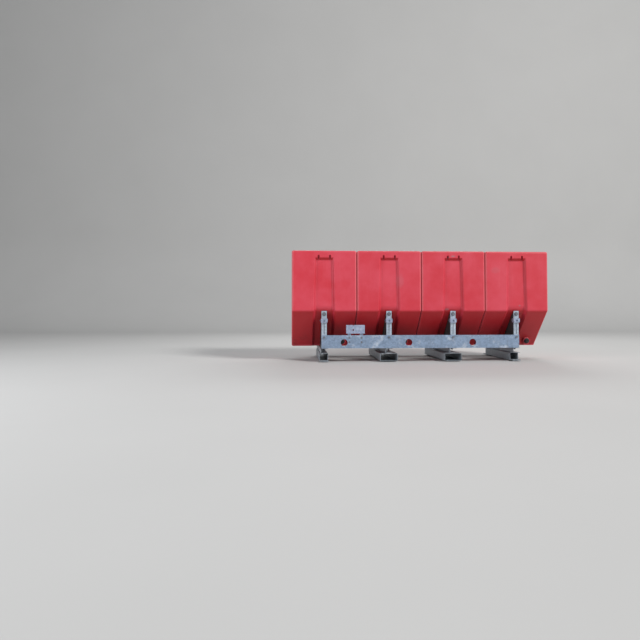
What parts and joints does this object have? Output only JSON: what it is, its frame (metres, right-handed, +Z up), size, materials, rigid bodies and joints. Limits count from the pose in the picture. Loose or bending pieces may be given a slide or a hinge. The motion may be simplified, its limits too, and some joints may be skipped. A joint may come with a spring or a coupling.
{
  "type": "water filled barrier",
  "caption": "Row of moulded ballast tanks with downward taper and recessed faces, held by posts and rails of a galvanised steel cradle with fork channels.",
  "frame": {"origin": "on the ground, at the middle of the row in length and depth", "axes": "X along the row to the right as seen from the front, -Y towards the front, +Z up"},
  "size_m": [2.994, 1, 1.331],
  "materials": {
    "tank_plastic": "rotomoulded polyethylene, fine satin texture",
    "cap_plastic": "moulded polyethylene, darker red",
    "seal_rubber": "black seal rubber",
    "plug_plastic": "black moulded nylon",
    "galvanised_post": "hot dip galvanised, dull spangle",
    "galvanised_plate": "hot dip galvanised plate",
    "galvanised_rail": "hot dip galvanised, weathered bluish grey",
    "galvanised_base": "hot dip galvanised, scuffed",
    "dark_steel": "black powder coat",
    "rubber": "black rubber sheet",
    "zinc_bolts": "zinc plated fasteners"
  },
  "bodies": {
    "cradle": {"tank_1": "tank_plastic", "tank_2": "tank_plastic", "tank_3": "tank_plastic", "tank_4": "tank_plastic", "front_post_1": "galvanised_post", "front_post_2": "galvanised_post", "front_post_3": "galvanised_post", "front_post_4": "galvanised_post", "rear_post_1": "galvanised_post", "rear_post_2": "galvanised_post", "rear_post_3": "galvanised_post", "rear_post_4": "galvanised_post", "front_gusset_1": "dark_steel", "front_gusset_2": "dark_steel", "front_gusset_3": "dark_steel", "front_gusset_4": "dark_steel", "rear_gusset_1": "dark_steel", "rear_gusset_2": "dark_steel", "rear_gusset_3": "dark_steel", "rear_gusset_4": "dark_steel", "front_pads": "rubber", "rear_pads": "rubber", "front_eye_brackets": "galvanised_plate", "rear_eye_brackets": "galvanised_plate", "front_rail": "galvanised_rail", "rear_rail": "galvanised_rail", "cross_beam_1": "galvanised_base", "cross_beam_2": "galvanised_base", "cross_beam_3": "galvanised_base", "cross_beam_4": "galvanised_base", "fork_channel_left": "galvanised_base", "fork_channel_right": "galvanised_base", "end_skid_left": "galvanised_base", "end_skid_right": "galvanised_base", "tank_mats": "rubber", "foot_pads": "rubber", "anchor_plate": "galvanised_plate", "post_bolts": "zinc_bolts", "eye_bolts": "zinc_bolts", "gusset_bolts": "zinc_bolts", "rail_bolts": "zinc_bolts", "leg_bolts": "zinc_bolts", "beam_bolts": "zinc_bolts", "anchor_bolts": "zinc_bolts"},
    "cap_seal_1": {"cap_gasket_1": "seal_rubber"},
    "cap_1": {"fill_cap_1": "cap_plastic"},
    "drain_seal_1": {"drain_gasket_1": "seal_rubber"},
    "drain_1": {"drain_plug_1": "plug_plastic"},
    "cap_seal_2": {"cap_gasket_2": "seal_rubber"},
    "cap_2": {"fill_cap_2": "cap_plastic"},
    "drain_seal_2": {"drain_gasket_2": "seal_rubber"},
    "drain_2": {"drain_plug_2": "plug_plastic"},
    "cap_seal_3": {"cap_gasket_3": "seal_rubber"},
    "cap_3": {"fill_cap_3": "cap_plastic"},
    "drain_seal_3": {"drain_gasket_3": "seal_rubber"},
    "drain_3": {"drain_plug_3": "plug_plastic"},
    "cap_seal_4": {"cap_gasket_4": "seal_rubber"},
    "cap_4": {"fill_cap_4": "cap_plastic"},
    "drain_seal_4": {"drain_gasket_4": "seal_rubber"},
    "drain_4": {"drain_plug_4": "plug_plastic"}
  },
  "joints": [
    {"name": "cap_1_lift", "type": "slide", "parent": "cradle", "child": "cap_seal_1", "axis": [0, 0, 1], "range_m": [0, 0.0302]},
    {"name": "cap_1_turn", "type": "hinge", "parent": "cap_seal_1", "child": "cap_1", "pos_m": [-1.125, 0, 1.307], "axis": [0, 0, 1], "range_deg": [0, 900]},
    {"name": "drain_1_out", "type": "slide", "parent": "cradle", "child": "drain_seal_1", "axis": [0, -1, 0], "range_m": [0, 0.0302]},
    {"name": "drain_1_turn", "type": "hinge", "parent": "drain_seal_1", "child": "drain_1", "pos_m": [-0.895, -0.2246, 0.225], "axis": [0, -1, 0], "range_deg": [0, 1800]},
    {"name": "cap_2_lift", "type": "slide", "parent": "cradle", "child": "cap_seal_2", "axis": [0, 0, 1], "range_m": [0, 0.0302]},
    {"name": "cap_2_turn", "type": "hinge", "parent": "cap_seal_2", "child": "cap_2", "pos_m": [-0.375, 0, 1.307], "axis": [0, 0, 1], "range_deg": [0, 900]},
    {"name": "drain_2_out", "type": "slide", "parent": "cradle", "child": "drain_seal_2", "axis": [0, -1, 0], "range_m": [0, 0.0302]},
    {"name": "drain_2_turn", "type": "hinge", "parent": "drain_seal_2", "child": "drain_2", "pos_m": [-0.145, -0.2246, 0.225], "axis": [0, -1, 0], "range_deg": [0, 1800]},
    {"name": "cap_3_lift", "type": "slide", "parent": "cradle", "child": "cap_seal_3", "axis": [0, 0, 1], "range_m": [0, 0.0302]},
    {"name": "cap_3_turn", "type": "hinge", "parent": "cap_seal_3", "child": "cap_3", "pos_m": [0.375, 0, 1.307], "axis": [0, 0, 1], "range_deg": [0, 900]},
    {"name": "drain_3_out", "type": "slide", "parent": "cradle", "child": "drain_seal_3", "axis": [0, -1, 0], "range_m": [0, 0.0302]},
    {"name": "drain_3_turn", "type": "hinge", "parent": "drain_seal_3", "child": "drain_3", "pos_m": [0.605, -0.2246, 0.225], "axis": [0, -1, 0], "range_deg": [0, 1800]},
    {"name": "cap_4_lift", "type": "slide", "parent": "cradle", "child": "cap_seal_4", "axis": [0, 0, 1], "range_m": [0, 0.0302]},
    {"name": "cap_4_turn", "type": "hinge", "parent": "cap_seal_4", "child": "cap_4", "pos_m": [1.125, 0, 1.307], "axis": [0, 0, 1], "range_deg": [0, 900]},
    {"name": "drain_4_out", "type": "slide", "parent": "cradle", "child": "drain_seal_4", "axis": [0, -1, 0], "range_m": [0, 0.0302]},
    {"name": "drain_4_turn", "type": "hinge", "parent": "drain_seal_4", "child": "drain_4", "pos_m": [1.355, -0.2246, 0.225], "axis": [0, -1, 0], "range_deg": [0, 1800]}
  ],
  "couplings": [
    {"joint": "cap_1_lift", "follows": "cap_1_turn", "m_per_rad": 0.0019099},
    {"joint": "drain_1_out", "follows": "drain_1_turn", "m_per_rad": 0.00095493},
    {"joint": "cap_2_lift", "follows": "cap_2_turn", "m_per_rad": 0.0019099},
    {"joint": "drain_2_out", "follows": "drain_2_turn", "m_per_rad": 0.00095493},
    {"joint": "cap_3_lift", "follows": "cap_3_turn", "m_per_rad": 0.0019099},
    {"joint": "drain_3_out", "follows": "drain_3_turn", "m_per_rad": 0.00095493},
    {"joint": "cap_4_lift", "follows": "cap_4_turn", "m_per_rad": 0.0019099},
    {"joint": "drain_4_out", "follows": "drain_4_turn", "m_per_rad": 0.00095493}
  ]
}
